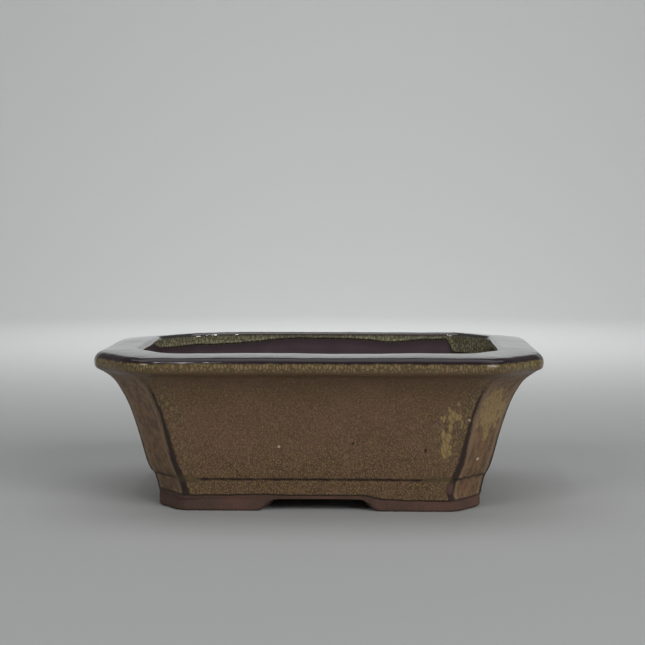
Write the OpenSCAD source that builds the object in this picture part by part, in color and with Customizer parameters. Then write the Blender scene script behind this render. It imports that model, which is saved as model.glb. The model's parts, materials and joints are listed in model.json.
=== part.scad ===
// Rectangular bonsai pot with canted corners, a rolled lip, a recessed base
// band and four cloud feet. It is slab built: every slab, strip and foot that
// the potter cuts and lutes together with slip is a solid of its own.
// Millimetres. +Z up, front towards -Y, origin on the table under the centre.

/* [Overall] */
// Width over the lip, left to right
rim_w = 200; // [190:1:240]
// Depth over the lip, front to back
rim_d = 150; // [146:1:190]
// Height from the table to the crest of the lip
pot_h = 72; // [68:1:90]

/* [Walls] */
// Thickness of the wall slabs, measured level
wall_t = 5.5; // [4:0.1:7]
// How far the walls lean outward for each millimetre of height
wall_lean = 0.235; // [0.2:0.005:0.3]
// How far the lip stands out beyond the leaning wall
flare = 8.8; // [7:0.1:9.5]
// Height over which the flare dies away below the lip
flare_len = 7.4; // [5:0.1:8]

/* [Lip] */
// Radius of the rolled outer edge
lip_r = 4.4; // [3:0.1:4.8]
// Level width of the lip, outer edge to inner edge
lip_w = 19.5; // [18:0.1:22]
// Radius of the inner edge
lip_inner_r = 2.6; // [1.5:0.1:3]
// How much lower the lip is at its outer roll than at its crest
lip_fall = 0.5; // [0.3:0.1:1.5]

/* [Corners] */
// Length cut off the front and back by a canted corner, at the lip
corner_cut = 21; // [17:0.5:24]
// Length cut off the side for each millimetre cut off the front
corner_slope = 1.3; // [1:0.05:1.4]
// How fast the cut shrinks as the walls draw in
corner_shrink = 0.27; // [0.2:0.01:0.32]
// Radius that rounds the upright arrises, in plan
arris_r = 5; // [3:0.5:8]

/* [Base] */
// Height of the feet
foot_h = 5.5; // [5:0.5:9]
// Height of the base band above the feet
band_h = 9.5; // [8:0.5:12]
// How far the band sits back under the walls
band_set_back = 1; // [0.4:0.1:1.4]
// Level width of a foot, outer face to inner face
foot_t = 12; // [9:0.5:14]
// Thickness of the floor slab
floor_t = 6; // [5:0.5:7]
// Half width of the front arch between the feet, on the table
front_arch = 26; // [20:1:30]
// Half width of the side arch between the feet, on the table
side_arch = 15; // [12:1:17]
// Level length of the curved shoulder of an arch
arch_shoulder = 9; // [6:0.5:10]

/* [Holes] */
// Diameter of the two drain holes
drain_d = 16; // [12:1:18]
// Distance of each drain hole from the centre
drain_x = 28; // [24:1:32]
// Diameter of the four tie wire holes
wire_d = 4; // [3:0.5:5]
// Distance of the tie wire holes from the centre, left to right
wire_x = 46; // [44:1:50]
// Distance of the tie wire holes from the centre, front to back
wire_y = 20; // [17:1:24]

/* [Hidden] */
glaze_brown = "#6b563c";
lip_dark = "#43352c";
bare_clay = "#7d5a4d";

half_w = rim_w / 2;
half_d = rim_d / 2;
wall_z = foot_h + band_h;
// Height at which the flared underside runs into the roll of the lip
roll_z = pot_h - lip_fall - lip_r;
under_z = roll_z - lip_r;
// The flare meets the roll this far outside the centre of the roll
flare_tuck = 0.5;
steps = 8;
arris_steps = 6;
far = 400;
// Turn of the canted face away from the front
corner_turn = atan(corner_slope);

// Where the straight wall would stand at height z, inward from the lip's edge
function lean_at(z) = lip_r + flare - flare_tuck + wall_lean * (under_z - z);
// Inward distance of the outer wall face, with the flare added
function outer_at(z) = lean_at(z) - flare * exp((z - under_z) / flare_len);
// Inward distance of the inner wall face, which drops plumb near the lip
function inner_at(z) = max(lip_w, lean_at(z) + wall_t);
function curve_between(z0, z1) =
    [for (i = [0:steps]) let (z = z0 + (z1 - z0) * i / steps) [outer_at(z), z]];
function arc(centre, r, from, to) =
    [for (i = [0:steps]) let (a = from + (to - from) * i / steps)
        centre + r * [cos(a), sin(a)]];

// The lip strip is bedded where the leaning inner face meets the plumb one
lip_z = under_z - max(3, (lip_w - wall_t - lean_at(under_z)) / wall_lean);
band_top = outer_at(wall_z) + band_set_back;
band_foot = band_top + wall_lean * band_h;
floor_edge = inner_at(wall_z) + band_h - floor_t;

// Cross sections: inward distance from the edge of the lip, then height. Each
// starts at an inner point from which all of its outline can be seen
wall_section = concat(
    [[inner_at(wall_z), wall_z]],
    curve_between(wall_z, lip_z),
    [[inner_at(lip_z), lip_z]]
);
lip_section = concat(
    [[inner_at(lip_z), lip_z]],
    curve_between(lip_z, under_z),
    arc([lip_r, roll_z], lip_r, 250, 90),
    arc([lip_w - lip_inner_r, pot_h - lip_inner_r], lip_inner_r, 90, 0)
);
band_section = [
    [floor_edge, foot_h],
    [band_foot, foot_h],
    [band_top, wall_z],
    [inner_at(wall_z), wall_z],
    [floor_edge, foot_h + floor_t],
];
// The arch would rise past the top of the feet, so they end blunt
arch_h = foot_h + 1;
foot_edge_r = 1.4;
foot_draw_in = 0.7;
foot_section = concat(
    [[band_foot + foot_t, foot_h], [band_foot + foot_t, 0]],
    arc([band_foot + foot_draw_in + foot_edge_r, foot_edge_r], foot_edge_r, 270, 180),
    [[band_foot, foot_h]]
);

// The outline at inset o is a rectangle with its corners cut off. These are
// the front right corner's two arrises, before they are rounded
function front_arris(o) =
    [half_w - corner_cut - (1 - corner_shrink) * o, o - half_d];
function side_arris(o) =
    [half_w - o, corner_slope * corner_cut + (1 - corner_slope * corner_shrink) * o - half_d];
function facing(turn) = [sin(turn), -cos(turn)];

// A station is a place round the pot: which arris it belongs to, the way the
// pot faces there, and how it is mirrored. at() is its point at inset o
function rounded(arris, from, to, turn) =
    arris + arris_r * (facing(turn)
        - (facing(from) + facing(to)) / (1 + facing(from) * facing(to)));
function right_point(s, o) =
    s[0] == "canted_middle" ? (front_arris(o) + side_arris(o)) / 2
    : s[0] == "front_middle" ? [0, o - half_d]
    : s[0] == "side_middle" ? [half_w - o, 0]
    : s[0] == "front" ? rounded(front_arris(o), 0, corner_turn, s[1])
    : rounded(side_arris(o), corner_turn, 90, s[1]);
function at(s, o) = let (p = right_point(s, o)) [s[2] * p[0], s[3] * p[1]];

// Stations over a share of one rounded arris, at the corner on sides x and y
function turning(arris, from, to, x, y) =
    [for (i = [0:arris_steps]) [arris, from + (to - from) * i / arris_steps, x, y]];
half_front = corner_turn / 2;
half_side = (corner_turn + 90) / 2;
front_path = concat(
    turning("front", half_front, 0, -1, 1), turning("front", 0, half_front, 1, 1));
right_path = concat(
    turning("side", half_side, 90, 1, 1), turning("side", 90, half_side, 1, -1));
corner_path = concat(
    turning("front", half_front, corner_turn, 1, 1),
    turning("side", corner_turn, half_side, 1, 1));
front_strip_path = concat(
    [["canted_middle", 0, -1, 1]],
    turning("front", corner_turn, 0, -1, 1), turning("front", 0, corner_turn, 1, 1),
    [["canted_middle", 0, 1, 1]]);
right_strip_path = concat(
    [["canted_middle", 0, 1, 1]],
    turning("side", corner_turn, 90, 1, 1), turning("side", 90, corner_turn, 1, -1),
    [["canted_middle", 0, 1, -1]]);
foot_path = concat(
    [["front_middle", 0, 1, 1]],
    turning("front", 0, corner_turn, 1, 1), turning("side", corner_turn, 90, 1, 1),
    [["side_middle", 0, 1, 1]]);

// The solid that a section sweeps out along a path of stations. Its ends are
// fans of triangles round the section's first point
module course(section, path) {
    n = len(section);
    last = (len(path) - 1) * n;
    polyhedron(
        points = [for (s = path, p = section) [each at(s, p[0]), p[1]]],
        faces = concat(
            [for (j = [1:n - 2]) [0, j, j + 1]],
            [for (i = [0:n:last - n], j = [0:n - 1]) let (k = (j + 1) % n)
                [i + k, i + j, i + n + j, i + n + k]],
            [for (j = [1:n - 2]) [last, last + j + 1, last + j]]
        )
    );
}

module at_back() { mirror([0, 1, 0]) children(); }
module at_left() { mirror([1, 0, 0]) children(); }

// The floor fits inside the base band, so its plan is the outline at floor_edge
module floor_slab() {
    quarter = concat(
        turning("front", 0, corner_turn, 1, 1), turning("side", corner_turn, 90, 1, 1));
    function round_at(x, y) =
        [for (s = quarter) let (p = at(s, floor_edge)) [x * p[0], y * p[1]]];
    function backwards(list) = [for (i = [len(list) - 1:-1:0]) list[i]];
    color(bare_clay) difference() {
        translate([0, 0, foot_h]) linear_extrude(height = floor_t) polygon(concat(
            round_at(1, 1), backwards(round_at(1, -1)),
            round_at(-1, -1), backwards(round_at(-1, 1))
        ));
        for (x = [-drain_x, drain_x])
            translate([x, 0, 0]) cylinder(h = pot_h, d = drain_d, $fn = 64);
        for (x = [-wire_x, wire_x], y = [-wire_y, wire_y])
            translate([x, y, 0]) cylinder(h = pot_h, d = wire_d, $fn = 32);
    }
}

module front_base_band() { color(glaze_brown) course(band_section, front_strip_path); }
module back_base_band() { at_back() front_base_band(); }
module right_base_band() { color(glaze_brown) course(band_section, right_strip_path); }
module left_base_band() { at_left() right_base_band(); }

module front_wall() { color(glaze_brown) course(wall_section, front_path); }
module back_wall() { at_back() front_wall(); }
module right_wall() { color(glaze_brown) course(wall_section, right_path); }
module left_wall() { at_left() right_wall(); }

module front_right_pilaster() {
    color(glaze_brown) course(wall_section, corner_path);
}
module front_left_pilaster() { at_left() front_right_pilaster(); }
module back_right_pilaster() { at_back() front_right_pilaster(); }
module back_left_pilaster() { at_back() front_left_pilaster(); }

module front_lip() { color(lip_dark) course(lip_section, front_strip_path); }
module back_lip() { at_back() front_lip(); }
module right_lip() { color(lip_dark) course(lip_section, right_strip_path); }
module left_lip() { at_left() right_lip(); }

// The arch cut through the ring of feet, with a shoulder that is an S curve
module arch(half_span) {
    shoulder = [
        for (i = [0:steps]) let (t = i / steps)
            [half_span - arch_shoulder * t, arch_h * (1 - cos(180 * t)) / 2]
    ];
    rotate([90, 0, 0]) linear_extrude(height = far, center = true) polygon(concat(
        [[half_span, -1]], shoulder,
        [for (i = [steps:-1:0]) [-shoulder[i][0], shoulder[i][1]]],
        [[-half_span, -1]]
    ));
}

module front_right_foot() {
    color(bare_clay) difference() {
        course(foot_section, foot_path);
        arch(front_arch);
        rotate([0, 0, 90]) arch(side_arch);
    }
}
module front_left_foot() { at_left() front_right_foot(); }
module back_right_foot() { at_back() front_right_foot(); }
module back_left_foot() { at_back() front_left_foot(); }

floor_slab();
front_base_band();
back_base_band();
left_base_band();
right_base_band();
front_wall();
back_wall();
left_wall();
right_wall();
front_left_pilaster();
front_right_pilaster();
back_left_pilaster();
back_right_pilaster();
front_lip();
back_lip();
left_lip();
right_lip();
front_left_foot();
front_right_foot();
back_left_foot();
back_right_foot();
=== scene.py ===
"""Glazed bonsai pot: a rectangular pot with canted corners, a rolled lip, a base band and four
cloud feet. Lengths are millimetres in the frame of the CAD model, and metres in the meshes."""

import json
import math
import bpy
import numpy as np
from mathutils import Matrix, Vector
from mathutils.geometry import delaunay_2d_cdt


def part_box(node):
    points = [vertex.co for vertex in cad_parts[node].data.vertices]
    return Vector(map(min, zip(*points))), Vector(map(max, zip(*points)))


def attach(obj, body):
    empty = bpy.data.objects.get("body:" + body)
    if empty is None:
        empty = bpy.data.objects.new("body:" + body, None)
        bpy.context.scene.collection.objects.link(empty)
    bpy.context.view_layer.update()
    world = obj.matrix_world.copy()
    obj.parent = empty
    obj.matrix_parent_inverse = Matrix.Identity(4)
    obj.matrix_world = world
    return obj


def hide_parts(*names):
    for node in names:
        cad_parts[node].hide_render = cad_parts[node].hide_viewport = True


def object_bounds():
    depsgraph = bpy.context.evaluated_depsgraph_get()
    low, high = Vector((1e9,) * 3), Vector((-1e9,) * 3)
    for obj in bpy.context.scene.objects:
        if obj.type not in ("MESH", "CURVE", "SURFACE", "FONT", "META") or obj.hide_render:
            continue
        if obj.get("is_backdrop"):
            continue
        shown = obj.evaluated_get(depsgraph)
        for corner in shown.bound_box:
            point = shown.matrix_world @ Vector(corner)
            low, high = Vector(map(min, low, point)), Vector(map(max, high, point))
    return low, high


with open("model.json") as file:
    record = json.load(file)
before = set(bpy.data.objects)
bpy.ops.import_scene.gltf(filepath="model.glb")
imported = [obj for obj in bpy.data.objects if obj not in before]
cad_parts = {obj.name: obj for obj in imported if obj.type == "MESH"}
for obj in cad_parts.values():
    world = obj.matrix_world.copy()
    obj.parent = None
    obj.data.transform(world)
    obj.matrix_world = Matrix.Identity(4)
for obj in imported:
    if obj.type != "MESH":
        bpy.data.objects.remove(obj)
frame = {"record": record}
cad_low, cad_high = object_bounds()
MM = 0.001


def top_of(node):
    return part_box(node)[1].z / MM


def bottom_of(node):
    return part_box(node)[0].z / MM


# ---- sizes, from the CAD frame
HALF_W = 100.0
HALF_D = 75.0
POT_H = cad_high.z / MM
FOOT_TOP = top_of("front_left_foot")
WALL_Z = top_of("front_base_band")
FLOOR_TOP = top_of("floor_slab")
LIP_Z = bottom_of("front_lip")

WALL_T = 5.5
WALL_LEAN = 0.235
FLARE = 8.8
FLARE_LEN = 7.4
FLARE_TUCK = 0.5
LIP_R = 4.4
LIP_W = 19.5
LIP_INNER_R = 2.6
LIP_FALL = 0.5
CREASE_DEPTH = 0.6
FOOT_T = 12.0
CORNER_CUT = 21.0
CORNER_SLOPE = 1.3
CORNER_SHRINK = 0.27
CORNER_TURN = math.atan(CORNER_SLOPE)
FRONT_ARCH = 26.0
SIDE_ARCH = 15.0
ARCH_SHOULDER = 9.0

ROLL_Z = POT_H - LIP_FALL - LIP_R
UNDER_Z = ROLL_Z - LIP_R
# The CAD roll is a polygon, so the round one here is drawn in by this much to stay inside it
ROLL_DRAW_IN = 0.08


def smooth(value, start, end):
    """0 before start, 1 after end, and an S curve between them."""
    t = np.clip((np.asarray(value, float) - start) / (end - start), 0.0, 1.0)
    return t * t * (3.0 - 2.0 * t)


def mix(a, b, t):
    return a + (b - a) * t


def ripple(points, wavelength, seed):
    """A smooth uneven field of about -1 to 1 over the last axis of points."""
    rng = np.random.default_rng(seed)
    total = 0.0
    for _ in range(7):
        way = rng.normal(size=3)
        way /= np.linalg.norm(way)
        pitch = wavelength * rng.uniform(0.7, 1.5)
        total = total + np.sin(points @ way * (2 * math.pi / pitch) + rng.uniform(0, 2 * math.pi))
    return total / 3.2


# ---- plan: stations round the pot
def facing(turn):
    return np.array([math.sin(turn), -math.cos(turn)])


def middle(x, y, inward):
    """A station halfway along a side. A station's five terms are its plan point at the edge of
    the lip, and how that moves per millimetre of inset, of radius of the front and of the side
    arris, and of extra corner cut."""
    still = [0.0, 0.0]
    return np.array([[x, y], inward, still, still, still])


def arris(which, share):
    """A station on the front or the side arris of the front right corner."""
    if which == "front":
        start, end = 0.0, CORNER_TURN
        point = [HALF_W - CORNER_CUT, -HALF_D]
        inward = [CORNER_SHRINK - 1.0, 1.0]
    else:
        start, end = CORNER_TURN, math.pi / 2
        point = [HALF_W, CORNER_SLOPE * CORNER_CUT - HALF_D]
        inward = [-1.0, 1.0 - CORNER_SLOPE * CORNER_SHRINK]
    before, after = facing(start), facing(end)
    centre = (before + after) / (1.0 + before @ after)
    rounding = facing(mix(start, end, share)) - centre
    still = [0.0, 0.0]
    if which == "front":
        return np.array([point, inward, rounding, still, [-1.0, 0.0]])
    return np.array([point, inward, still, rounding, [0.0, CORNER_SLOPE]])


def along(first, last, count, ease):
    """Stations between two others, both left out, closer together towards an eased end."""
    shares = np.arange(1, count) / count
    if ease == "end":
        shares = np.sin(shares * math.pi / 2) * 0.45 + shares * 0.55
    if ease == "start":
        shares = 1 - (np.sin((1 - shares) * math.pi / 2) * 0.45 + (1 - shares) * 0.55)
    return [mix(first, last, share) for share in shares]


FRONT_STEPS, ARRIS_STEPS, CANT_STEPS, SIDE_STEPS = 58, 12, 26, 38
quarter = [middle(0.0, -HALF_D, [0.0, 1.0])]
quarter += along(quarter[0], arris("front", 0.0), FRONT_STEPS, "end")
quarter += [arris("front", i / ARRIS_STEPS) for i in range(ARRIS_STEPS + 1)]
quarter += along(arris("front", 1.0), arris("side", 0.0), CANT_STEPS, "none")
quarter += [arris("side", i / ARRIS_STEPS) for i in range(ARRIS_STEPS + 1)]
quarter += along(arris("side", 1.0), middle(HALF_W, 0.0, [-1.0, 0.0]), SIDE_STEPS, "start")
quarter += [middle(HALF_W, 0.0, [-1.0, 0.0])]
quarter = np.array(quarter)

# Places of the joints along a quarter of the ring
Q = len(quarter) - 1
FRONT_ARRIS = FRONT_STEPS + ARRIS_STEPS // 2
SIDE_ARRIS = FRONT_STEPS + ARRIS_STEPS + CANT_STEPS + ARRIS_STEPS // 2
CANT_MIDDLE = (FRONT_ARRIS + SIDE_ARRIS) // 2


def mirrored(stations, x, y):
    return stations * np.array([x, y])


ring = np.concatenate([
    quarter[:-1],
    mirrored(quarter, 1, -1)[:0:-1],
    mirrored(quarter, -1, -1)[:-1],
    mirrored(quarter, -1, 1)[:0:-1],
])
RING = len(ring)


def cut_more(z):
    """The corners are cut a little deeper in the band, and less in the full, round feet."""
    above_foot = -0.3 + 1.5 * (1 - smooth(z, 10.0, 26.0))
    return mix(-2.6, above_foot, smooth(z, 0.5, 9.0))


def plan(stations, inset, radii, z):
    """Plan points, rows x stations x 2. Each argument but the stations has a number per row, or
    per row and station. The radii are of the front and of the side arrises."""
    def spread(value):
        value = np.asarray(value, float)
        return value[:, None, None] if value.ndim == 1 else value[..., None]

    flat = stations[None, :, 0] + spread(inset) * stations[None, :, 1]
    flat = flat + spread(radii[0]) * stations[None, :, 2] + spread(radii[1]) * stations[None, :, 3]
    return flat + spread(cut_more(np.asarray(z, float))) * stations[None, :, 4]


# ---- section: rows up and over
def lean_at(z):
    return LIP_R + FLARE - FLARE_TUCK + WALL_LEAN * (UNDER_Z - z)


def outer_at(z):
    return lean_at(z) - FLARE * np.exp((z - UNDER_Z) / FLARE_LEN)


def inner_at(z):
    return np.maximum(LIP_W, lean_at(z) + WALL_T)


def face_inset(z):
    """Outer face: the wall's curve, and below it the band, which leans on in a straight line."""
    return outer_at(np.maximum(z, WALL_Z)) + np.where(z < WALL_Z, WALL_LEAN * (WALL_Z - z), 0.0)


def arc(centre, radius, start, end, count):
    angles = np.radians(np.linspace(start, end, count))
    return np.stack([centre[0] + radius * np.cos(angles), centre[1] + radius * np.sin(angles)], 1)


def rows_between(z0, z1, count, inset):
    z = np.linspace(z0, z1, count)
    return np.stack([inset(z), z], 1)


band_rows = rows_between(FOOT_TOP, WALL_Z - 0.9, 30, face_inset)
crease_rows = rows_between(WALL_Z - 0.75, WALL_Z + 0.75, 11, face_inset)
wall_rows = rows_between(WALL_Z + 0.9, LIP_Z, 44, face_inset)
flare_rows = rows_between(LIP_Z, UNDER_Z - 0.3, 11, outer_at)[1:]
roll_rows = arc([LIP_R + ROLL_DRAW_IN / 2, ROLL_Z], LIP_R - ROLL_DRAW_IN / 2, 244, 90, 24)
crown_share = np.linspace(0, 1, 13)[1:-1]
crown_rows = np.stack([
    mix(LIP_R, LIP_W - LIP_INNER_R, crown_share),
    POT_H - 0.02 - (LIP_FALL - 0.02) * (1 - crown_share) ** 2.4,
], 1)
brink_rows = arc([LIP_W - LIP_INNER_R, POT_H - 0.02 - LIP_INNER_R], LIP_INNER_R, 90, 0, 11)
throat_rows = rows_between(POT_H - LIP_INNER_R - 0.5, LIP_Z, 30, inner_at)
inside_rows = rows_between(LIP_Z, WALL_Z, 36, inner_at)[1:]
fillet_share = np.linspace(0, 1, 9)[1:]
fillet_rows = np.stack([
    mix(inner_at(WALL_Z), inner_at(WALL_Z) + WALL_Z - FLOOR_TOP, fillet_share),
    mix(WALL_Z, FLOOR_TOP, fillet_share),
], 1)
spans = [band_rows, crease_rows, wall_rows, flare_rows, roll_rows, crown_rows, brink_rows,
         throat_rows, inside_rows, fillet_rows]
section = np.concatenate(spans)
row_after = np.cumsum([len(s) for s in spans])
ROW_CREASE = row_after[0] + 5
ROW_LIP_OUTER = row_after[2] - 1
ROW_CROWN = row_after[4] - 1
ROW_LIP_INNER = row_after[7] - 1
ROW_WALL_INNER = row_after[8] - 1
ROW_LAST = row_after[9] - 1
rows = np.arange(len(section))
is_outer = rows <= ROW_CROWN

# How far along the section a row lies, counted inward from the crest of the roll
steps = np.linalg.norm(np.diff(section, axis=0), axis=1)
girth = np.concatenate([[0.0], np.cumsum(steps)])
girth = girth - girth[ROW_CROWN]

# The back lip falls outward by this much more than the others, as it warped in the kiln
BACK_LIP_FALL = 0.9
fall_share = smooth(section[:, 1], 57.0, 66.0) * is_outer
fall_share[row_after[4]:row_after[5]] = 1 - crown_share

# Radii in plan of the arrises: crisp on the walls, soft round the lip
WALL_ARRIS_R = 2.6
FRONT_LIP_R = 19.0
SIDE_LIP_R = 17.0
THROAT_R = 7.0
lip_share = np.where(is_outer, smooth(section[:, 1], 52.0, 68.0), 1 - smooth(girth, 2.0, 20.0))
row_start = np.where(is_outer, WALL_ARRIS_R, THROAT_R)
front_radii = mix(row_start, FRONT_LIP_R, lip_share)
side_radii = mix(row_start, SIDE_LIP_R, lip_share)


# ---- the hand-made shape
GLAZE_END_Z = 7.0
GLAZE_RUN = 2.15
INNER_GLAZE_END_Z = 68.4
FRONT_DROOP = 0.45
BACK_LEFT_DROOP = 1.0
UNEVEN_DROOP = 0.06
BACK_RISE = 0.26
LEFT_BOW, RIGHT_BOW = 1.2, 0.9
TIP_FILL, TIP_FILL_Z, TIP_FILL_REACH = 1.1, 62.3, 2.6
GLAZE_T = 0.24
BEAD_T = 0.12
# The glazed skin is set back by this much, so that it stays inside the CAD model's box
GLAZE_INSET = 0.30
LIP_INSET = 0.24
ARRIS_THINNING, ARRIS_REACH = 0.7, 1.6
FAR_ABOVE = 60.0


def glaze_end(points):
    """Height at which the outside glaze ends, over plan points."""
    x, y, flat = points[..., 0], points[..., 1], points * [1, 1, 0]
    wander = 0.28 * ripple(flat, 26.0, 11) + 0.10 * ripple(flat, 6.0, 12)
    run = smooth(x, 17.0, 31.0) * smooth(-y, 12.0, 40.0)
    return GLAZE_END_Z + wander - GLAZE_RUN * run


def inner_glaze_end(points):
    """Height at which the glaze inside the rim ends: it ran down at the back right corner."""
    x, y, flat = points[..., 0], points[..., 1], points * [1, 1, 0]
    wander = 0.5 * ripple(flat, 45.0, 21) + 0.3 * ripple(flat, 12.0, 22)
    back = smooth(y, 10.0, 35.0)
    run = smooth(x, 61.5, 65.5) * back
    sag = smooth(-x, 5.0, 75.0) * back
    dip = np.exp(-((x - 33.0) / 13.0) ** 2) * back
    return INNER_GLAZE_END_Z + wander * (1 - 0.5 * back) - 6.5 * run - 3.4 * sag - 1.9 * dip


def crease_open(points):
    """1 where the crease under the wall is open, 0 where it melts away beside front arrises."""
    x, y = np.abs(points[..., 0] + 2.6), points[..., 1]
    return 1 - smooth(x, 47.0, 53.0) * (1 - smooth(x, 60.0, 64.0)) * smooth(-y, 40.0, 45.0)


def crease_depth(points):
    """How far the wall stands out over the band, which is less at the right end."""
    right_end = smooth(points[..., 0], 60.0, 66.0)
    return CREASE_DEPTH * mix(0.1, 1.0, crease_open(points)) * mix(1.0, 0.4, right_end)


def warp(points):
    """Drooping of the rim and bowing of the ends as the pot dried and was fired."""
    out = points.copy()
    x, y, z = points[..., 0], points[..., 1], points[..., 2]
    high = smooth(z, 25.0, POT_H)
    droop = FRONT_DROOP * smooth(-y, 20.0, 75.0)
    droop = droop + BACK_LEFT_DROOP * smooth(-x, 30.0, 95.0) * smooth(y, 5.0, 60.0)
    droop = droop + UNEVEN_DROOP * (1 + ripple(points * [1, 1, 0], 90.0, 31))
    droop = droop - BACK_RISE * smooth(y, -30.0, 50.0)
    out[..., 2] = z - high * droop
    # The end walls bow outward a little, more on the left, and fill out under the lip's tips
    bow = smooth(z, 12.0, 20.0) * (1 - smooth(z, 52.0, 64.0)) * np.where(x < 0, LEFT_BOW, RIGHT_BOW)
    full = TIP_FILL * np.exp(-((z - TIP_FILL_Z) / TIP_FILL_REACH) ** 2)
    full = full * smooth(np.abs(x), 74.0, 88.0)
    out[..., 0] = x + np.sign(x) * smooth(np.abs(x), 55.0, 75.0) * (bow + full)
    return out


def wobble(points):
    """Unevenness of slab work, with the lip drawn in so that it stays inside the CAD box."""
    broad = 0.16 * ripple(points, 55.0, 41)
    fine = 0.05 * ripple(points, 13.0, 42) + 0.018 * ripple(points, 5.0, 43)
    near_edge = smooth(points[..., 2], 55.0, 66.0)
    return broad + fine - LIP_INSET * near_edge


def glaze_relief(above_end):
    """Thickness of the glaze: nothing below its end, then a rounded bead and a thinner coat."""
    bead = BEAD_T * np.exp(-((above_end - 0.75) / 0.55) ** 2)
    return GLAZE_T * smooth(above_end, -0.05, 0.55) + bead


def surface_normals(grid, closed):
    """Smooth outward normals of a rows x stations x 3 grid."""
    if closed:
        across = np.roll(grid, -1, 1) - np.roll(grid, 1, 1)
    else:
        across = np.gradient(grid, axis=1)
    upward = np.gradient(grid, axis=0)
    normal = np.cross(across, upward)
    return normal / np.maximum(np.linalg.norm(normal, axis=-1, keepdims=True), 1e-12)


def shaped(stations, section_rows, radii, closed, crease=None):
    """The skin over a ring or a stretch of stations, before the glaze: grid of points."""
    flat = plan(stations, section_rows[:, 0], radii, section_rows[:, 1])
    back = smooth(flat[..., 1], 25.0, 60.0)
    height = section_rows[:, 1][:, None] - BACK_LIP_FALL * fall_share[:, None] * back
    if crease is not None:
        setting_back = crease[:, None] * crease_depth(flat)
        flat = flat + setting_back[..., None] * stations[None, :, 1]
    grid = np.concatenate([flat, height[..., None]], -1)
    normal = surface_normals(grid, closed)
    grid = grid + wobble(grid)[..., None] * normal
    return warp(grid)


below_crease = 1 - smooth(section[:, 1], WALL_Z - 0.75, WALL_Z + 0.55)
below_crease[ROW_LIP_INNER:] = 0.0
skin = shaped(ring, section, (front_radii, side_radii), True, below_crease)
above_outside = skin[..., 2] - glaze_end(skin)
above_inside = skin[..., 2] - inner_glaze_end(skin)
above_end = np.where((rows > row_after[5])[:, None], above_inside, above_outside)
above_end[row_after[4]:row_after[5] + 1] = FAR_ABOVE


def corner_places(turn):
    """Ring places of the two arrises of a corner, counted within its own quarter of the ring."""
    if turn % 2 == 0:
        return FRONT_ARRIS, SIDE_ARRIS
    return Q - SIDE_ARRIS, Q - FRONT_ARRIS


def arris_distance(grid):
    """Signed distance in plan from the nearest arris: positive on the canted faces."""
    best = None
    canted = np.zeros(RING, bool)
    for turn in range(4):
        for place in corner_places(turn):
            gap = np.linalg.norm(grid[..., :2] - grid[:, turn * Q + place][:, None, :2], axis=-1)
            best = gap if best is None else np.minimum(best, gap)
        low, high = corner_places(turn)
        canted[turn * Q + low:turn * Q + high + 1] = True
    return np.where(canted[None, :], best, -best)


arris_gap = arris_distance(skin)
skin_normal = surface_normals(skin, True)
relief = glaze_relief(above_end)
# Glaze runs thin on the convex arrises
on_arris = np.exp(-(arris_gap / ARRIS_REACH) ** 2) * is_outer[:, None]
relief = relief * (1 - ARRIS_THINNING * on_arris) - GLAZE_INSET
skin = skin + relief[..., None] * skin_normal
skin_normal = surface_normals(skin, True)


# ---- meshes
# What the glaze reads at each vertex
FIELDS = ("above_glaze_end", "arris_gap", "girth", "crease_open")
# Field values far from any glaze, arris or lip, for faces that are bare clay or hidden
FAR_BELOW, FAR_FROM_ARRIS, FAR_OUTSIDE, FAR_INSIDE = -20.0, -40.0, -60.0, 90.0


def show(name, data):
    """An object in the scene."""
    made = bpy.data.objects.new(name, data)
    bpy.context.scene.collection.objects.link(made)
    return made


def add_fields(mesh, fields):
    for name in FIELDS:
        layer = mesh.attributes.new(name, "FLOAT", "POINT")
        values = np.broadcast_to(np.asarray(fields[name], np.float32), (len(mesh.vertices),))
        layer.data.foreach_set("value", values.copy())


def loop_piece(name, loop_spans, material):
    """A closed solid from a loop of grid spans. Each span is points, normals and the fields
    that the glaze reads, all rows x stations. Faces inside a span are smooth, and those that
    join two spans are flat."""
    points, normals = [np.concatenate([s[k] for s in loop_spans]) for k in (0, 1)]
    fields = {field: np.concatenate([s[k] for s in loop_spans]).ravel()
              for k, field in enumerate(FIELDS, 2)}
    ends = set(np.cumsum([len(s[0]) for s in loop_spans]) - 1)
    count, width = points.shape[:2]
    facets, smooth_facets = [], []
    for r in range(count):
        above = (r + 1) % count
        for j in range(width - 1):
            facets.append((r * width + j, r * width + j + 1, above * width + j + 1, above * width + j))
            smooth_facets.append(r not in ends)
    facets.append(tuple(r * width for r in range(count)))
    facets.append(tuple(r * width + width - 1 for r in reversed(range(count))))
    smooth_facets += [False, False]

    mesh = bpy.data.meshes.new(name)
    mesh.from_pydata((points.reshape(-1, 3) * MM).tolist(), [], facets)
    mesh.update()
    add_fields(mesh, fields)
    normals = normals.reshape(-1, 3)
    loops = []
    for facet, is_smooth, polygon in zip(facets, smooth_facets, mesh.polygons):
        polygon.use_smooth = True
        loops += [normals[i] for i in facet] if is_smooth else [polygon.normal] * len(facet)
    mesh.normals_split_custom_set([tuple(n) for n in loops])
    piece = show(name, mesh)
    mesh.materials.append(material)
    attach(piece, "root")
    return piece


girth_grid = np.broadcast_to(girth[:, None], skin.shape[:2])
crease_grid = crease_open(skin)


def skin_span(first_row, last_row, stations):
    pick = np.ix_(range(first_row, last_row + 1), stations)
    fields = (skin, skin_normal, above_end, arris_gap, girth_grid, crease_grid)
    return tuple(field[pick] for field in fields)


def stretch(start, end):
    """Ring places from start to end, both kept, across the seam where the ring closes."""
    return [i % RING for i in range(start, end + 1)]


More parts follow.
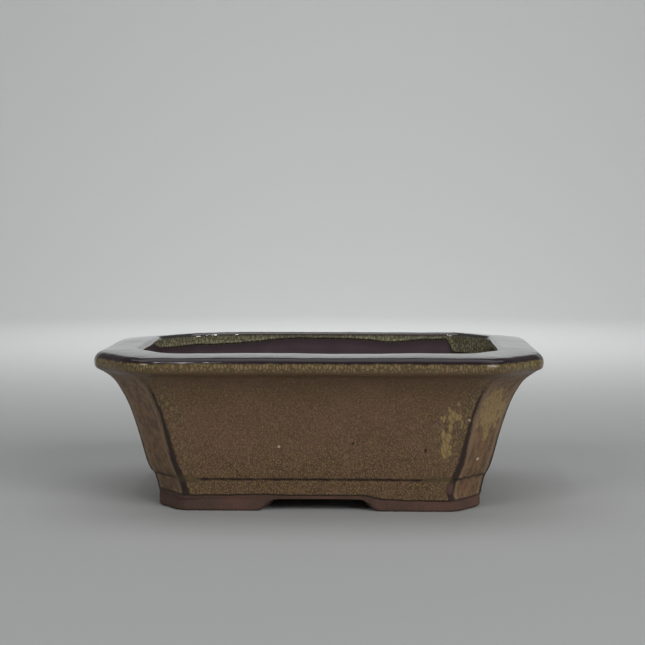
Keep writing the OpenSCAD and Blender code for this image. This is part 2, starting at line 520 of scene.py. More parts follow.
def single_row(inset, height, stations):
    """A hidden corner of a section, where clay meets clay."""
    flat = plan(ring[stations], [inset], ([THROAT_R], [THROAT_R]), [height])
    grid = np.concatenate([flat, np.full(flat.shape[:2] + (1,), height)], -1)
    blank = np.zeros(grid.shape[:2])
    return (warp(grid), np.zeros_like(grid), blank + FAR_BELOW, blank + FAR_FROM_ARRIS, blank, blank)


# ---- materials
SPECULAR_LEVEL = 0.33
COAT_ROUGHNESS = 0.05
COAT_IOR = 1.7
BUMP_HEIGHT = 0.12


class Look:
    """Builds one node material. Sockets and plain numbers can be mixed in every call."""

    def __init__(self, name):
        self.material = bpy.data.materials.new(name)
        self.material.use_nodes = True
        self.tree = self.material.node_tree
        self.principled = self.tree.nodes["Principled BSDF"]
        place = self.node("ShaderNodeTexCoord")
        self.place = self.vector("MULTIPLY", place.outputs["Object"], (1 / MM,) * 3)

    def node(self, kind, **settings):
        made = self.tree.nodes.new(kind)
        for key, value in settings.items():
            setattr(made, key, value)
        return made

    def feed(self, socket, value):
        if isinstance(value, bpy.types.NodeSocket):
            self.tree.links.new(value, socket)
        elif value is not None:
            socket.default_value = value

    def math(self, operation, a, b=None, kind="ShaderNodeMath"):
        made = self.node(kind, operation=operation)
        self.feed(made.inputs[0], a)
        self.feed(made.inputs[1], b)
        return made.outputs[0]

    def times(self, value, *others):
        for other in others:
            value = self.math("MULTIPLY", value, other)
        return value

    def most(self, value, *others):
        for other in others:
            value = self.math("MAXIMUM", value, other)
        return value

    def outer(self, share):
        """A share, kept only on the outside of the pot."""
        return self.times(share, self.outside)

    def vector(self, operation, a, b):
        return self.math(operation, a, b, "ShaderNodeVectorMath")

    def blend(self, share, a, b):
        made = self.node("ShaderNodeMix", data_type="RGBA")
        self.feed(made.inputs[0], share)
        self.feed(made.inputs[6], a)
        self.feed(made.inputs[7], b)
        return made.outputs[2]

    def paint(self, share, hue):
        """Lays a hue over the colour so far."""
        self.colour = self.blend(share, self.colour, hue)

    def choose(self, share, a, b):
        """A number that goes from a to b as share goes from 0 to 1."""
        made = self.node("ShaderNodeMix", data_type="FLOAT")
        self.feed(made.inputs[0], share)
        self.feed(made.inputs[2], a)
        self.feed(made.inputs[3], b)
        return made.outputs[0]

    def ease(self, value, start, end, low=0.0, high=1.0):
        """An S curve from low to high as value goes from start to end."""
        made = self.node("ShaderNodeMapRange", interpolation_type="SMOOTHSTEP")
        for index, item in enumerate((value, start, end, low, high)):
            self.feed(made.inputs[index], item)
        return made.outputs[0]

    def bell(self, value, centre, width):
        """1 where value is at centre, falling to 0 at width away from it."""
        offset = self.math("ABSOLUTE", self.math("SUBTRACT", value, centre))
        return self.ease(offset, 0.0, width, 1.0, 0.0)

    def noise(self, size, detail=2.0, place=None, roughness=0.5):
        """Noise whose features are about size millimetres across."""
        made = self.node("ShaderNodeTexNoise")
        self.feed(made.inputs["Vector"], self.place if place is None else place)
        self.feed(made.inputs["Scale"], 1.0 / size)
        self.feed(made.inputs["Detail"], detail)
        self.feed(made.inputs["Roughness"], roughness)
        return made.outputs[0]

    def cells(self, size, feature, place):
        made = self.node("ShaderNodeTexVoronoi", feature=feature)
        self.feed(made.inputs["Vector"], place)
        self.feed(made.inputs["Scale"], 1.0 / size)
        return made

    def upright_cells(self, size, squeeze):
        """Cells that are 1 / squeeze times as tall: the distance to their edges, and their tint."""
        place = self.vector("MULTIPLY", self.ragged, (1.0, 1.0, squeeze))
        edge_gap = self.cells(size, "DISTANCE_TO_EDGE", place).outputs["Distance"]
        return edge_gap, self.cells(size, "F1", place).outputs["Color"]

    def attribute(self, name):
        return self.node("ShaderNodeAttribute", attribute_name=name).outputs["Fac"]

    def axis(self, index):
        parts = self.node("ShaderNodeSeparateXYZ")
        self.feed(parts.inputs[0], self.place)
        return parts.outputs[index]

    def blob(self, centre, size, edge=0.25):
        """1 inside an ellipsoid round centre, with a soft edge that the noise makes ragged."""
        away = self.vector("SUBTRACT", self.ragged, centre)
        away = self.vector("DIVIDE", away, size)
        length = self.node("ShaderNodeVectorMath", operation="LENGTH")
        self.feed(length.inputs[0], away)
        return self.ease(length.outputs["Value"], 1.0 - edge, 1.0 + edge, 1.0, 0.0)

    def finish(self, roughness, height, coat):
        bump = self.node("ShaderNodeBump")
        self.feed(bump.inputs["Height"], height)
        self.feed(bump.inputs["Distance"], BUMP_HEIGHT * MM)
        self.feed(bump.inputs["Strength"], 1.0)
        self.feed(self.principled.inputs["Base Color"], self.colour)
        self.feed(self.principled.inputs["Roughness"], roughness)
        self.feed(self.principled.inputs["Coat Weight"], coat)
        self.principled.inputs["Specular IOR Level"].default_value = SPECULAR_LEVEL
        self.principled.inputs["Coat Roughness"].default_value = COAT_ROUGHNESS
        self.principled.inputs["Coat IOR"].default_value = COAT_IOR
        self.feed(self.principled.inputs["Normal"], bump.outputs[0])
        return self.material


# Gains that take a display colour to the albedo that shows it under this light
LIFT = 1.5
LIP_LIFT = 1.15
CELL_LIFT = 1.7
THROAT_LIFT = 2.4
THROAT_SHADE_LIFT = 2.0


def tone(red, green, blue, gain=LIFT):
    """A display colour as the linear colour of a surface, brightened by gain."""
    def one(value):
        value /= 255.0
        return gain * (value / 12.92 if value <= 0.04045 else ((value + 0.055) / 1.055) ** 2.4)
    return (one(red), one(green), one(blue), 1.0)


# Sizes of the glaze's patterns, in millimetres across
PUSH_SIZE, PUSH_REACH = 1.6, 1.4
FINE_CELL, FINE_SQUEEZE = 0.92, 0.72
LONG_CELL, LONG_SQUEEZE = 1.7, 0.42
LIP_CELL, LIP_SQUEEZE = 1.45, 0.55
TALL_SIZE, TALL_SQUEEZE = 2.3, 0.38

# Girths: where the roll's dark edge begins and ends, the brink's, and where the throat begins
ROLL_EDGE = (-5.7, -4.5)
CROWN_EDGE = (0.5, 5.0)
BRINK_AT, BRINK_REACH = 13.6, 3.4
THROAT_EDGE = (15.0, 17.5)
CLAY_TURNS_INSIDE = (10.0, 12.0)

# Marks on the glaze: a centre and half sizes, in millimetres
RUN_PATCH = ((57.0, -56.0, 36.0), (5.5, 9.0, 14.0))
LOWER_DROP = ((56.2, -54.5, 28.9), (2.6, 6.0, 4.2))
MIDDLE_DROP = ((57.0, -56.0, 36.0), (2.6, 6.0, 5.0))
UPPER_DROP = ((58.6, -58.0, 42.5), (4.4, 6.0, 8.5))
CANT_STREAK = ((76.5, -48.0, 46.0), (9.0, 13.0, 10.5))
CANT_FINGER = ((73.8, -45.5, 36.0), (1.8, 4.0, 4.6))
LEFT_PIT = ((15.6, -55.1, 31.5), (0.45, 3.0, 0.6))
RIGHT_PIT = ((47.3, -54.3, 28.4), (0.45, 3.0, 0.9))
WALL_SPECK = ((-16.8, -54.7, 30.0), (0.45, 3.0, 0.45))
# A small painted glint on the front right arris
ARRIS_GLINT = ((66.3, -58.0, 42.2), (0.5, 3.0, 0.5))
CANT_SPECK = ((70.7, -43.1, 23.3), (0.6, 3.0, 0.7))
LIP_TIP = ((91.0, -48.0, 65.5), (10.0, 18.0, 4.5))
BARE_SPOT = ((58.4, -50.2, 10.9), (1.6, 4.0, 2.5))
BARE_SPOT_RIM = (BARE_SPOT[0], (2.1, 5.0, 3.0))


def bare_clay(look):
    """Colour, roughness and height of unglazed fired clay with grit."""
    grain = look.noise(0.5, 3.0)
    patch = look.noise(14.0, 3.0)
    dark, light = tone(65, 49, 42), tone(79, 57, 49)
    colour = look.blend(look.ease(patch, 0.3, 0.7), dark, light)
    colour = look.blend(look.ease(grain, 0.5, 0.72, 0.0, 0.45), colour, tone(58, 43, 38))
    grit = look.cells(1.7, "F1", look.place)
    grit_mask = look.ease(grit.outputs["Distance"], 0.10, 0.2, 1.0, 0.0)
    colour = look.blend(look.times(grit_mask, 0.2), colour, tone(126, 100, 82))
    height = look.math("ADD", grain, look.times(grit_mask, 0.4))
    return colour, 0.85, height


def read_surface(look):
    """Fields that say where on the pot a point is, and the patterns that several layers share."""
    look.above = look.attribute("above_glaze_end")
    look.gap = look.attribute("arris_gap")
    look.over = look.attribute("girth")
    look.crease_mask = look.attribute("crease_open")
    look.height = look.axis(2)
    look.outside = look.ease(look.over, -2.0, 0.0, 1.0, 0.0)

    # Coordinates that noise pushes about, so that cells and blobs have natural outlines
    push = look.node("ShaderNodeTexNoise")
    look.feed(push.inputs["Vector"], look.place)
    look.feed(push.inputs["Scale"], 1 / PUSH_SIZE)
    push = look.vector("SUBTRACT", push.outputs["Color"], (0.5, 0.5, 0.5))
    look.ragged = look.vector("ADD", look.place, look.vector("MULTIPLY", push, (PUSH_REACH,) * 3))

    look.fine_gap, look.fine_tint = look.upright_cells(FINE_CELL, FINE_SQUEEZE)
    look.long_gap, look.long_tint = look.upright_cells(LONG_CELL, LONG_SQUEEZE)
    look.lip_gap, look.lip_tint = look.upright_cells(LIP_CELL, LIP_SQUEEZE)
    look.patchy = look.noise(7.0, 3.0)
    look.uneven = look.times(look.math("SUBTRACT", look.noise(3.0, 3.0), 0.5), 2.2)
    look.beside = look.ease(look.math("ABSOLUTE", look.gap), 2.5, 13.0, 1.0, 0.0)


def wall_colour(look):
    """Fine cells everywhere, long ones where the glaze ran beside the arrises, and grain."""
    run_share = look.times(look.beside, look.ease(look.patchy, 0.40, 0.62))
    run_share = look.most(run_share, look.times(0.8, look.blob(*RUN_PATCH, 0.4)))
    run_share = look.outer(run_share)

    deep, rosy = tone(88, 67, 48), tone(96, 73, 57)
    ground = look.blend(look.ease(look.noise(26.0, 2.0), 0.3, 0.7), deep, rosy)
    rose, olive = tone(110, 84, 67), tone(108, 90, 56)
    fine_hue = look.blend(look.ease(look.fine_tint, 0.35, 0.65), rose, olive)
    fine_edge = look.ease(look.fine_gap, 0.0, 0.3)
    fine = look.blend(fine_edge, tone(60, 46, 30), fine_hue)
    coarse = look.most(look.ease(look.height, 18.0, 36.0, 1.0, 0.0), look.beside)
    quiet = look.math("ADD", 0.6, look.times(coarse, 0.4))
    strength = look.times(look.ease(look.patchy, 0.25, 0.7, 0.6, 1.0), quiet)
    look.colour = look.blend(strength, ground, fine)

    tan, olive = tone(102, 82, 64), tone(108, 92, 60)
    long_hue = look.blend(look.ease(look.long_tint, 0.3, 0.6), tan, olive)
    long_edge = look.ease(look.long_gap, 0.0, 0.2)
    long = look.blend(long_edge, tone(60, 50, 36), long_hue)
    look.paint(look.times(run_share, 0.8), long)
    speck = look.ease(look.noise(0.5, 2.0), 0.54, 0.7, 0.0, 0.6)
    look.paint(speck, tone(58, 44, 31))
    grain = look.noise(0.9, 3.0, look.vector("MULTIPLY", look.place, (1.0, 1.0, 0.55)))
    grain = look.ease(grain, 0.52, 0.72, 0.0, 0.55)
    look.paint(grain, tone(116, 92, 70))


def canted_runs(look):
    """The canted faces carry broader, warmer runs of darker and lighter glaze."""
    place = look.vector("MULTIPLY", look.ragged, (1.0, 1.0, TALL_SQUEEZE))
    tall = look.ease(look.noise(TALL_SIZE, 3.0, place, 0.6), 0.40, 0.60)
    hue = look.blend(tall, tone(66, 48, 33), tone(124, 92, 62))
    canted = look.outer(look.ease(look.gap, 0.5, 3.0))
    look.paint(look.times(canted, 0.42), hue)


def ochre_runs(look):
    """Ochre glaze that ran at the front right corner, in whole cells of the long pattern."""
    upper = look.times(look.blob(*UPPER_DROP, 0.6), 0.72)
    mid = look.times(look.blob(*MIDDLE_DROP, 0.6), 0.6)
    streak = look.times(look.blob(*CANT_STREAK, 0.5), look.ease(look.gap, 1.2, 3.2), 0.85)
    finger = look.blob(*CANT_FINGER, 0.3)
    drops = look.most(look.blob(*LOWER_DROP, 0.35), upper, mid, streak, finger)
    chance = look.math("SUBTRACT", look.long_tint, 0.5)
    chance = look.times(chance, look.ease(drops, 0.0, 0.2, 0.0, 1.1))
    drops = look.ease(look.math("ADD", drops, chance), 0.38, 0.56)
    drops = look.outer(drops)
    drops = look.times(drops, look.ease(look.long_gap, 0.0, 0.14, 0.35, 1.0))
    look.paint(look.times(drops, 0.85), tone(128, 108, 70))


def stray_marks(look):
    """Pits, pale specks, and a small painted glint on the front right arris."""
    stray = look.cells(19.0, "F1", look.place).outputs["Distance"]
    stray = look.ease(stray, 0.018, 0.03, 1.0, 0.0)
    look.pits = look.outer(look.most(look.blob(*LEFT_PIT), look.blob(*RIGHT_PIT), stray))
    look.paint(look.pits, tone(34, 27, 20))
    # Pale specks, and the painted glint on the front right arris
    pale_specks_and_glint = [look.blob(*mark) for mark in (WALL_SPECK, ARRIS_GLINT, CANT_SPECK)]
    look.paint(look.most(*pale_specks_and_glint), tone(170, 150, 122))


def lip_colour(look):
    """A painted shade line under the flare, olive cells on the roll, and the flat of the lip."""
    # Painted shade: a soft dark line where the flare turns in under the lip
    flare_shade_at = look.math("ADD", look.height, look.times(look.uneven, 0.4))
    painted_flare_shade = look.outer(look.times(look.bell(flare_shade_at, 63.6, 2.6), 0.6))
    look.paint(painted_flare_shade, tone(74, 58, 40))

    olive, tan = tone(98, 88, 56, CELL_LIFT), tone(106, 87, 64, CELL_LIFT)
    hue = look.blend(look.ease(look.lip_tint, 0.3, 0.7), olive, tan)
    high = look.ease(look.height, 67.2, 69.4)
    hue = look.blend(high, hue, tone(78, 80, 50, CELL_LIFT))
    tip = look.times(look.blob(*LIP_TIP, 0.5), 0.8)
    hue = look.blend(tip, hue, tone(112, 102, 58, CELL_LIFT))
    cell_edge = look.ease(look.lip_gap, 0.0, 0.26)
    cells = look.blend(cell_edge, tone(60, 52, 34, CELL_LIFT), hue)
    share = look.outer(look.ease(look.height, 63.6, 66.2))
    look.paint(look.times(share, 0.82), cells)

    olive, brown = tone(66, 62, 42, LIP_LIFT), tone(82, 72, 54, LIP_LIFT)
    crown_hue = look.blend(look.ease(look.patchy, 0.35, 0.65), olive, brown)
    cell_edge = look.ease(look.lip_gap, 0.0, 0.25, 0.75, 0.0)
    crown_hue = look.blend(cell_edge, crown_hue, tone(42, 40, 28, LIP_LIFT))
    shade, pale = tone(64, 62, 46, THROAT_SHADE_LIFT), tone(106, 102, 80, THROAT_LIFT)
    throat_hue = look.blend(look.ease(look.lip_gap, 0.0, 0.25), shade, pale)
    throat = look.times(look.ease(look.over, *THROAT_EDGE), 0.8)
    crown_hue = look.blend(throat, crown_hue, throat_hue)
    look.paint(look.ease(look.over, -0.8, 1.2), crown_hue)


def dark_lines_and_arris_highlight(look):
    """Lines where thin glaze breaks dark on the arrises, the lip's edges and the glaze end, a broken
    dark line along the crease, and a painted highlight stripe beside the arrises.
    """
    # On an arris the line widens downward, with a painted highlight stripe just outside it
    wander = look.math("ADD", look.gap, look.times(look.uneven, 0.75))
    width = look.ease(look.height, 10.0, 52.0, 2.0, 0.75)
    edge = look.math("SUBTRACT", look.math("ABSOLUTE", wander), width)
    low = look.outer(look.ease(look.height, 53.0, 60.0, 1.0, 0.0))
    on_arris = look.times(look.ease(edge, -0.5, 0.55, 1.0, 0.0), low)
    # Painted highlight: a pale stripe on the outer side of each arris, fading out towards the lip
    fade = look.ease(look.height, 56.0, 62.0, 0.75, 0.0)
    painted_arris_highlight = look.times(look.bell(wander, 3.4, 1.8), fade)
    look.paint(look.outer(painted_arris_highlight), tone(112, 92, 72))
    look.paint(look.times(on_arris, 0.95), tone(38, 27, 23))

    roll_place = look.math("ADD", look.over, look.times(look.uneven, 0.8))
    crown_edge = look.ease(roll_place, *CROWN_EDGE, 1.0, 0.0)
    roll = look.times(look.ease(roll_place, *ROLL_EDGE), crown_edge)
    thin = look.most(roll, look.bell(roll_place, BRINK_AT, BRINK_REACH))
    look.paint(thin, tone(38, 29, 33, LIP_LIFT))

    crease_at = look.math("ADD", look.height, look.times(look.uneven, 0.55))
    crease = look.outer(look.bell(crease_at, WALL_Z - 0.2, 1.1))
    broken = look.ease(look.noise(4.0, 2.0), 0.36, 0.55, 0.6, 1.0)
    crease = look.times(crease, broken, look.crease_mask)
    look.paint(crease, tone(33, 25, 18))
    closed = look.ease(look.crease_mask, 0.1, 0.9, 0.7, 0.0)
    pooled = look.times(look.bell(look.height, WALL_Z, 2.6), closed)
    look.paint(look.outer(pooled), tone(64, 56, 36))
    end_line = look.times(look.bell(look.above, 0.35, 0.95), 0.92)
    look.paint(end_line, tone(36, 28, 21))


def fired_surface(name):
    """Bare clay below the ends of the glaze, and a mottled brown glaze above them."""
    look = Look(name)
    read_surface(look)
    for layer in (wall_colour, canted_runs, ochre_runs, stray_marks, lip_colour, dark_lines_and_arris_highlight):
        layer(look)

    # One bare spot on the front right arris, where the glaze crawled back
    bare_spot = look.outer(look.blob(*BARE_SPOT, 0.12))
    rim = look.outer(look.blob(*BARE_SPOT_RIM, 0.15))
    look.paint(look.times(rim, 0.6), tone(52, 42, 30))

    # Clay, darker inside the pot and darkest just below the end of the inner glaze
    clay, clay_rough, clay_height = bare_clay(look)
    light, dark = tone(70, 56, 60), tone(54, 43, 47)
    inside_clay = look.blend(look.noise(9.0, 3.0), light, dark)
    below_end = look.ease(look.above, -4.0, -0.5, 0.0, 0.6)
    inside_clay = look.blend(below_end, inside_clay, tone(40, 31, 35))
    clay = look.blend(look.ease(look.over, *CLAY_TURNS_INSIDE), clay, inside_clay)
    glazed = look.ease(look.above, -0.12, 0.12)
    glazed = look.times(glazed, look.math("SUBTRACT", 1.0, bare_spot))
    look.colour = look.blend(glazed, clay, look.colour)

    # The glaze is glossier and smoother towards the lip
    patches = look.ease(look.patchy, 0.3, 0.7, -0.03, 0.05)
    patches = look.times(patches, look.ease(look.height, 60.0, 66.0, 1.0, 0.2))
    glaze_rough = look.ease(look.height, 58.0, 68.0, 0.47, 0.11)
    glaze_rough = look.math("ADD", glaze_rough, patches)
    rough = look.choose(glazed, clay_rough, glaze_rough)
    smoother = look.ease(look.height, 60.0, 68.0, 0.9, 0.22)
    peel = look.times(look.noise(2.6, 2.0), smoother)
    cell_relief = look.ease(look.fine_gap, 0.0, 0.25, 0.0, 0.25)
    cell_relief = look.times(cell_relief, look.ease(look.height, 62.0, 68.0, 1.0, 0.0))
    peel = look.math("ADD", peel, cell_relief)
    peel = look.math("SUBTRACT", peel, look.times(look.pits, 2.5))
    relief = look.choose(glazed, clay_height, peel)
    coat = look.times(look.ease(look.over, -2.4, -0.6), glazed)
    return look.finish(rough, relief, coat)


wall_glaze = fired_surface("mottled_brown_glaze")
lip_glaze = fired_surface("glossy_lip_glaze")
foot_clay = fired_surface("glaze_ending_on_clay")


# ---- pieces
def side_stretch(side, place):
    """Ring places of a side, out to the given place of the quarter at both of its ends."""
    centre = {"front": 0, "right": Q, "back": 2 * Q, "left": 3 * Q}[side]
    reach = place if side in ("front", "back") else Q - place
    return stretch(centre - reach, centre + reach)


def slab(name, places):
    """A wall or a pilaster, glazed outside and bare inside."""
    return loop_piece(name, [
        skin_span(ROW_CREASE, ROW_LIP_OUTER, places),
        skin_span(ROW_LIP_INNER, ROW_WALL_INNER, places),
    ], wall_glaze)


for side in ("front", "back", "left", "right"):
    wall_ring = side_stretch(side, FRONT_ARRIS if side in ("front", "back") else SIDE_ARRIS)
    strip_ring = side_stretch(side, CANT_MIDDLE)
    wall = slab(f"{side}_wall_skin", wall_ring)
    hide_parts(f"{side}_wall")
    lip_span = skin_span(ROW_LIP_OUTER, ROW_LIP_INNER, strip_ring)
    lip = loop_piece(f"{side}_lip_skin", [lip_span], lip_glaze)
    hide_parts(f"{side}_lip")
    band = loop_piece(f"{side}_base_band_skin", [
        skin_span(0, ROW_CREASE, strip_ring),
        skin_span(ROW_WALL_INNER, ROW_LAST, strip_ring),
        single_row(section[-1, 0], FOOT_TOP, strip_ring),
    ], wall_glaze)
    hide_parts(f"{side}_base_band")

for turn, corner in enumerate(("front_right", "back_right", "back_left", "front_left")):
    low, high = corner_places(turn)
    pilaster = slab(f"{corner}_pilaster_skin", stretch(turn * Q + low, turn * Q + high))
    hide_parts(f"{corner}_pilaster")

# ---- feet
FOOT_OUTER_TOP = section[0, 0] + CREASE_DEPTH
FOOT_DRAW_IN = 0.45
FOOT_EDGE_R = 1.4
FOOT_INNER_R = 0.9
FOOT_R = 9.0
# Where a foot begins under the arches, from the middle of the front and of the side, and the
# spacing of its stations under an arch and along the flat
FRONT_FOOT_START, SIDE_FOOT_START = 18.2, 7.2
ARCH_STEP, FLAT_STEP = 0.5, 1.1


def foot_stations():
    """Stations of the front right foot, from the front arch round the corner to the side."""
    inset = FOOT_OUTER_TOP
    front_end, side_end = arris("front", 0.0), arris("side", 1.0)
    front_reach = (front_end[0] + inset * front_end[1])[0]
    side_reach = -(side_end[0] + inset * side_end[1])[1]

    def straight(first, last, reach, start, arch_end):
        arch, flat = np.arange(start, arch_end, ARCH_STEP), np.arange(arch_end, reach, FLAT_STEP)
        return [mix(first, last, place / reach) for place in np.concatenate([arch, flat])]

    stations = straight(quarter[0], front_end, front_reach, FRONT_FOOT_START, FRONT_ARCH + 2.0)
    stations += [arris("front", i / ARRIS_STEPS) for i in range(ARRIS_STEPS + 1)]
    stations += along(arris("front", 1.0), arris("side", 0.0), CANT_STEPS, "none")
    stations += [arris("side", i / ARRIS_STEPS) for i in range(ARRIS_STEPS + 1)]
    side = straight(quarter[-1], side_end, side_reach, SIDE_FOOT_START, SIDE_ARCH + 2.0)
    return np.array(stations + side[::-1])


def arch_height(x, y):
    """Height of a foot's underside: an S curve up into the arch at both ends."""
    front = np.clip((FRONT_ARCH - np.abs(x)) / ARCH_SHOULDER, 0.0, 0.965)
    side = np.clip((SIDE_ARCH - np.abs(y)) / ARCH_SHOULDER, 0.0, 0.965)
    on_front = np.abs(y) > np.abs(x) * HALF_D / HALF_W
    share = np.where(on_front, front, side)
    return FOOT_TOP * (1 - np.cos(math.pi * share)) / 2


def foot_grid(stations, x_side, y_side):
    """The foot's outside from its inner top edge down, under, and up the outer face."""
    outer_z = np.linspace(1.0, 0.0, 16)
    under = np.linspace(0.0, 1.0, 8)[1:-1]
    placed = mirrored(stations, x_side, y_side)
    centre_line = plan(placed, [FOOT_OUTER_TOP + FOOT_T / 2], ([FOOT_R], [FOOT_R]), [0.0])[0]
    level = []
    for s in range(len(placed)):
        base = float(arch_height(*centre_line[s]))
        room = FOOT_TOP - base
        outer_r, inner_r = min(FOOT_EDGE_R, 0.6 * room), min(FOOT_INNER_R, 0.4 * room)
        inner_face = FOOT_OUTER_TOP + FOOT_T
        outer_foot = FOOT_OUTER_TOP + FOOT_DRAW_IN * min(1.0, room / 4.1)
        rows_here = [[inner_face, mix(FOOT_TOP, base + inner_r, t)] for t in (0.0, 0.33, 0.67)]
        rows_here += arc([inner_face - inner_r, base + inner_r], inner_r, 0, -90, 6).tolist()
        start, stop = inner_face - inner_r, outer_foot + outer_r
        rows_here += [[mix(start, stop, t), base] for t in under]
        rows_here += arc([stop, base + outer_r], outer_r, 270, 180, 8).tolist()
        rise = FOOT_TOP - base - outer_r
        rows_here += [[mix(FOOT_OUTER_TOP, outer_foot, t ** 1.3), base + outer_r + rise * (1 - t)]
                      for t in outer_z[1:]]
        level.append(rows_here)
    level = np.array(level).transpose(1, 0, 2)
    radii = mix(FOOT_R, WALL_ARRIS_R, smooth(level[..., 1], 1.0, FOOT_TOP))
    flat = plan(placed, level[..., 0], (radii, radii), level[..., 1])
    return np.concatenate([flat, level[..., 1:]], -1)


for corner, (x_side, y_side) in {"front_right": (1, 1), "front_left": (-1, 1),
                                 "back_right": (1, -1), "back_left": (-1, -1)}.items():
    grid = foot_grid(foot_stations(), x_side, y_side)
    if x_side * y_side < 0:
        grid = grid[:, ::-1]
    normal = surface_normals(grid, False)
    lower = smooth(grid[..., 2], 0.0, FOOT_TOP)
    grid = grid + (wobble(grid) * lower)[..., None] * normal
    above = grid[..., 2] - glaze_end(grid)
    outer_rows = np.arange(len(grid))[:, None] >= len(grid) - 20
    above = np.where(outer_rows, above, FAR_BELOW)
    grid = grid + ((glaze_relief(above) - GLAZE_INSET) * outer_rows * lower)[..., None] * normal
    grid[..., 2] = np.maximum(grid[..., 2], 0.0)
    normal = surface_normals(grid, False)
    blank = np.zeros(grid.shape[:2])
    foot = loop_piece(f"{corner}_foot_skin",
                      [(grid, normal, above, blank + FAR_FROM_ARRIS, blank + FAR_OUTSIDE, blank)],
                      foot_clay)
    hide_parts(f"{corner}_foot")


# ---- floor slab with its holes
HOLE_BEVEL = 0.9
FLOOR_GRID = 5.0


def circle(centre, radius, count):
    turns = np.arange(count) * 2 * math.pi / count
    return np.array(centre) + radius * np.stack([np.cos(turns), np.sin(turns)], 1)


def inside_outline(points, outline):
    """Which points lie inside a closed plan outline."""
    x, y = points[:, 0, None], points[:, 1, None]
    (x0, y0), (x1, y1) = outline.T, np.roll(outline, -1, 0).T
    crosses = (y0 > y) != (y1 > y)
    with np.errstate(divide="ignore", invalid="ignore"):
        at = x0 + (y - y0) * (x1 - x0) / (y1 - y0)
    return (crosses & (x < at)).sum(1) % 2 == 1


def floor_piece():
    """The floor slab: one triangulated sheet for its top and underside, joined round the edge
    and down the drain and wire holes."""
    holes = []
    for mount in frame["record"]["mounts"]:
        if mount["kind"] == "bore":
            centre = np.array(mount["pos_m"][:2]) / MM
            radius = mount["dims"]["r_mm"]
            bevel = min(HOLE_BEVEL, 0.35 * radius)
            holes.append((centre, radius, bevel, 56 if radius > 4 else 28))
    outline = skin[-1, :, :2]
    sheet = [outline]
    sheet += [circle(centre, radius + bevel, count) for centre, radius, bevel, count in holes]
    starts = np.cumsum([0] + [len(part) for part in sheet])
    span_x, span_y = np.abs(outline).max(0)
    grid = np.stack(np.meshgrid(np.arange(-span_x, span_x, FLOOR_GRID),
                                np.arange(-span_y, span_y, FLOOR_GRID)), -1).reshape(-1, 2)
    room = np.linalg.norm(grid[:, None] - outline[None], axis=-1).min(1) > 0.5 * FLOOR_GRID
    keep = room & inside_outline(grid, outline)
    for centre, radius, bevel, _ in holes:
        keep &= np.linalg.norm(grid - centre, axis=1) > radius + bevel + 0.4 * FLOOR_GRID
    sheet = np.concatenate(sheet + [grid[keep]])
    edges = []
    for start, stop in zip(starts[:-1], starts[1:]):
        edges += [(i, start + (i + 1 - start) % (stop - start)) for i in range(start, stop)]
    flat, _, triangles, came_from, _, _ = delaunay_2d_cdt(
        [Vector(p) for p in sheet.tolist()], edges, [], 1, 1e-5)
    order = [places[0] for places in came_from]
    triangles = np.array([[order[i] for i in t] for t in triangles])
    centres = sheet[triangles].mean(1)
    keep = inside_outline(centres, outline)
    for start, stop in zip(starts[1:-1], starts[2:]):
        keep &= ~inside_outline(centres, sheet[start:stop])
    triangles = triangles[keep]
    a, b, c = sheet[triangles].transpose(1, 0, 2)
    turned = np.cross(b - a, c - a) < 0
    triangles[turned] = triangles[turned][:, ::-1]

    count = len(sheet)
    level = 0.12 * ripple(np.column_stack([sheet, np.zeros(count)]), 30.0, 51)
    level[:starts[1]] = 0.0
    top_z = skin[-1, :, 2].mean() + level
    top_z[:starts[1]] = skin[-1, :, 2]
    under_z = FOOT_TOP + 0.04 * ripple(np.column_stack([sheet, np.ones(count)]), 24.0, 52)
    under_z[:starts[1]] = FOOT_TOP
    points = [np.column_stack([sheet, top_z]), np.column_stack([sheet, under_z])]
    facets = triangles.tolist() + (triangles[:, ::-1] + count).tolist()
    for i in range(RING):
        j = (i + 1) % RING
        facets.append((i + count, j + count, j, i))
    total = 2 * count
    for (centre, radius, bevel, sides), start in zip(holes, starts[1:]):
        top = top_z[start:start + sides].mean()
        wall = [(radius + bevel * (1 - math.sin(a)), top - bevel * (1 - math.cos(a)))
                for a in np.radians([22.5, 45.0, 67.5, 90.0])]
        wall += [(r, FOOT_TOP + top - z) for r, z in reversed(wall)]
        rings = [list(range(start, start + sides))]
        for reach, z in wall:
            points.append(np.column_stack([circle(centre, reach, sides), np.full(sides, z)]))
            rings.append(list(range(total, total + sides)))
            total += sides
        rings.append([i + count for i in rings[0]])
        for upper, lower in zip(rings[:-1], rings[1:]):
            for i in range(sides):
                j = (i + 1) % sides
                facets.append((upper[j], upper[i], lower[i], lower[j]))
    points = np.concatenate(points)
    mesh = bpy.data.meshes.new("floor_slab_skin")
    mesh.from_pydata((points * MM).tolist(), [], [tuple(f) for f in facets])
    for polygon in mesh.polygons:
        polygon.use_smooth = True
    mesh.set_sharp_from_angle(angle=math.radians(50.0))
    fields = {"above_glaze_end": FAR_BELOW, "arris_gap": FAR_FROM_ARRIS, "crease_open": 0.0}
    fields["girth"] = np.where(points[:, 2] > FOOT_TOP + 1.5, FAR_INSIDE, FAR_OUTSIDE)
    add_fields(mesh, fields)
    piece = show("floor_slab_skin", mesh)
    mesh.materials.append(foot_clay)
    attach(piece, "root")
    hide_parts("floor_slab")


floor_piece()


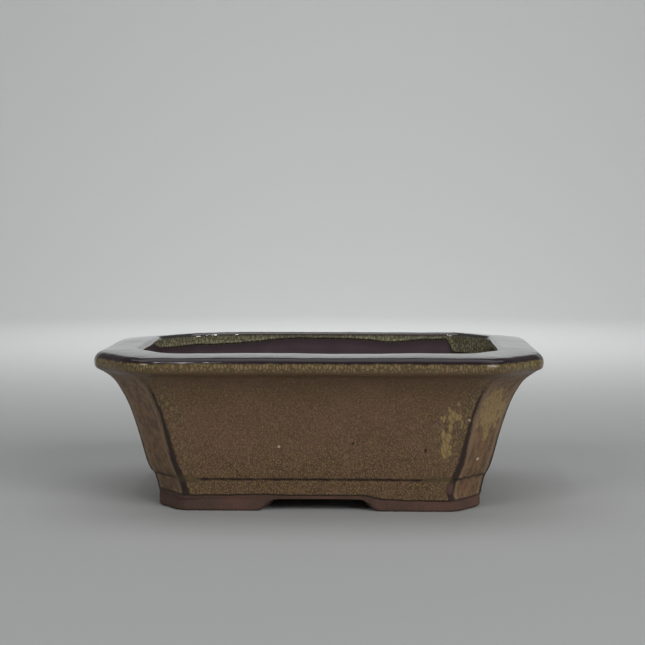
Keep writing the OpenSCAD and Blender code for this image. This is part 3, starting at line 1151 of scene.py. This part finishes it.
# ---- stage, light and camera
def sweep():
    """A round pale floor that curves up all round into a backdrop. It can't be seen from
    below, so that nothing hides the underside of the pot."""
    floor_reach, radius, rise, around = 1.25, 0.75, 1.0, 96
    profile = [(0.02, 0.0), (0.6, 0.0), (floor_reach, 0.0)]
    for i in range(1, 25):
        angle = math.pi / 2 * i / 24
        profile.append((floor_reach + radius * math.sin(angle), radius * (1 - math.cos(angle))))
    profile.append((floor_reach + radius, rise))
    points, facets = [(0.0, 0.0, 0.0)], []
    for reach, z in profile:
        for k in range(around):
            turn = 2 * math.pi * k / around
            points.append((reach * math.cos(turn), reach * math.sin(turn), z))
    for k in range(around):
        j = (k + 1) % around
        facets.append((0, 1 + k, 1 + j))
        for i in range(len(profile) - 1):
            inner, outer = 1 + i * around, 1 + (i + 1) * around
            facets.append((inner + k, outer + k, outer + j, inner + j))
    mesh = bpy.data.meshes.new("studio_sweep")
    mesh.from_pydata(points, [], facets)
    for polygon in mesh.polygons:
        polygon.use_smooth = True
    stage = show("studio_sweep", mesh)
    material = bpy.data.materials.new("studio_paper")
    material.use_nodes = True
    nodes, links = material.node_tree.nodes, material.node_tree.links
    paper = nodes["Principled BSDF"]
    paper.inputs["Base Color"].default_value = (0.42, 0.428, 0.425, 1.0)
    paper.inputs["Roughness"].default_value = 0.9
    side = nodes.new("ShaderNodeNewGeometry")
    clear = nodes.new("ShaderNodeBsdfTransparent")
    either = nodes.new("ShaderNodeMixShader")
    links.new(side.outputs["Backfacing"], either.inputs[0])
    links.new(paper.outputs[0], either.inputs[1])
    links.new(clear.outputs[0], either.inputs[2])
    links.new(either.outputs[0], nodes["Material Output"].inputs["Surface"])
    mesh.materials.append(material)
    stage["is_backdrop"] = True


def softbox(name, place, target, width, depth, watts):
    """An area light, in metres, that faces its target."""
    data = bpy.data.lights.new(name, "AREA")
    data.shape = "RECTANGLE"
    data.size = width
    data.size_y = depth
    data.energy = watts
    light = show(name, data)
    light.location = place
    light.rotation_euler = (Vector(target) - Vector(place)).to_track_quat("-Z", "Y").to_euler()


sweep()
softbox("overhead", (0.0, 0.15, 1.5), (0.0, 0.0, 0.0), 1.8, 1.2, 8.5)
softbox("front_right", (1.05, -1.25, 0.85), (0.0, 0.0, 0.04), 0.9, 0.8, 14.5)
softbox("front_left", (-0.9, -1.35, 1.0), (0.0, 0.0, 0.04), 0.6, 0.5, 6.0)
softbox("backdrop", (0.0, 0.72, 0.78), (0.0, 1.5, 0.2), 0.4, 0.2, 10.5)
softbox("catch_light", (-0.285, -0.80, 1.25), (-0.07, -0.07, 0.07), 0.03, 0.12, 1.0)


def studio_world():
    """Pale round the horizon and dim overhead, as in a studio with a lit backdrop."""
    world = bpy.data.worlds.new("studio")
    world.use_nodes = True
    nodes, links = world.node_tree.nodes, world.node_tree.links
    way = nodes.new("ShaderNodeTexCoord")
    parts = nodes.new("ShaderNodeSeparateXYZ")
    fade = nodes.new("ShaderNodeMapRange")
    fade.interpolation_type = "SMOOTHSTEP"
    links.new(way.outputs["Generated"], parts.inputs[0])
    links.new(parts.outputs[2], fade.inputs[0])
    fade_from, fade_to, at_horizon, overhead = 0.25, 0.75, 0.24, 0.10
    for index, value in enumerate((fade_from, fade_to, at_horizon, overhead), 1):
        fade.inputs[index].default_value = value
    background = nodes["Background"]
    background.inputs[0].default_value = (0.97, 0.985, 1.0, 1.0)
    links.new(fade.outputs[0], background.inputs[1])
    bpy.context.scene.world = world


studio_world()
bpy.context.scene.view_settings.view_transform = "Standard"

camera_data = bpy.data.cameras.new("camera")
camera_data.lens = 85.0
camera_data.sensor_width = 36.0
camera = show("camera", camera_data)
camera.location = (0.0228, -0.7154, 0.1306)
pitch, yaw = math.radians(3.985), math.radians(1.78)
camera.rotation_euler = (math.pi / 2 - pitch, 0.0, yaw)
bpy.context.scene.camera = camera

low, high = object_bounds()
